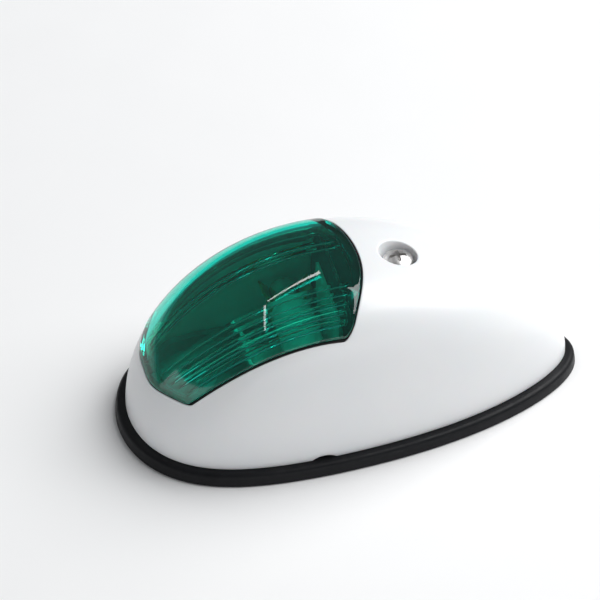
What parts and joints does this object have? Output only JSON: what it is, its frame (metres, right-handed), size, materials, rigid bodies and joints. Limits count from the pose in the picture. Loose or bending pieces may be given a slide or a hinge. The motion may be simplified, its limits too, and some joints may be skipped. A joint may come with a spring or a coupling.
{
  "type": "navigation light",
  "caption": "Teardrop side light for a vertical face: white cover with a wrap-round green lens, black rubber gasket, and a festoon bulb in spring forks on a grey base.",
  "frame": {"origin": "centre of the gasket's outline on the mounting face", "axes": "+Z outboard, out of the mounting face; -X towards the bow, where the lens is; +X towards the tail"},
  "size_m": [0.1194, 0.0604, 0.0453],
  "materials": {
    "gasket_rubber": "satin black EPDM rubber",
    "grommet_rubber": "matte black rubber",
    "base_plastic": "fine-textured grey ABS",
    "baffle_plastic": "matt black ABS",
    "reflector_white": "gloss white moulded plastic",
    "brass": "machined brass",
    "spring_brass": "stamped spring brass",
    "nickel_plate": "nickel plated",
    "stainless": "stainless steel",
    "tungsten": "drawn tungsten wire",
    "frosted_glass": "frosted glass",
    "cover_white": "gloss white UV-stable ABS",
    "lens_green": "clear green polycarbonate"
  },
  "bodies": {
    "base": {"base_gasket": "gasket_rubber", "base_plate": "base_plastic", "threaded_insert": "brass", "cable_grommet": "grommet_rubber", "reflector": "reflector_white", "light_baffle": "baffle_plastic", "contact_clip_upper": "spring_brass", "contact_clip_lower": "spring_brass", "contact_rivets": "brass", "terminal_clamps": "nickel_plate", "terminal_screws": "brass"},
    "bulb": {"bulb_glass": "frosted_glass", "bulb_filament": "tungsten", "bulb_cap_upper": "nickel_plate", "bulb_cap_lower": "nickel_plate"},
    "cover": {"cover_shell": "cover_white", "lens": "lens_green", "lens_seal": "gasket_rubber"},
    "screw_rings": {"screw_oring": "gasket_rubber", "screw_washer": "stainless"},
    "screw": {"cover_screw": "stainless"}
  },
  "joints": [
    {"name": "cover_lift", "type": "slide", "parent": "base", "child": "cover", "axis": [0, 0, 1], "range_m": [0, 0.05]},
    {"name": "screw_rise", "type": "slide", "parent": "cover", "child": "screw_rings", "axis": [0, 0, 1], "range_m": [0, 0.011]},
    {"name": "screw_turn", "type": "hinge", "parent": "screw_rings", "child": "screw", "pos_m": [0.0126, 0, 0.04], "axis": [0, 0, 1], "range_deg": [0, 5657.2]},
    {"name": "bulb_lift", "type": "slide", "parent": "base", "child": "bulb", "axis": [0, 0, 1], "range_m": [0, 0.0088]}
  ],
  "couplings": [
    {"joint": "screw_turn", "follows": "screw_rise", "rad_per_m": 8976}
  ]
}
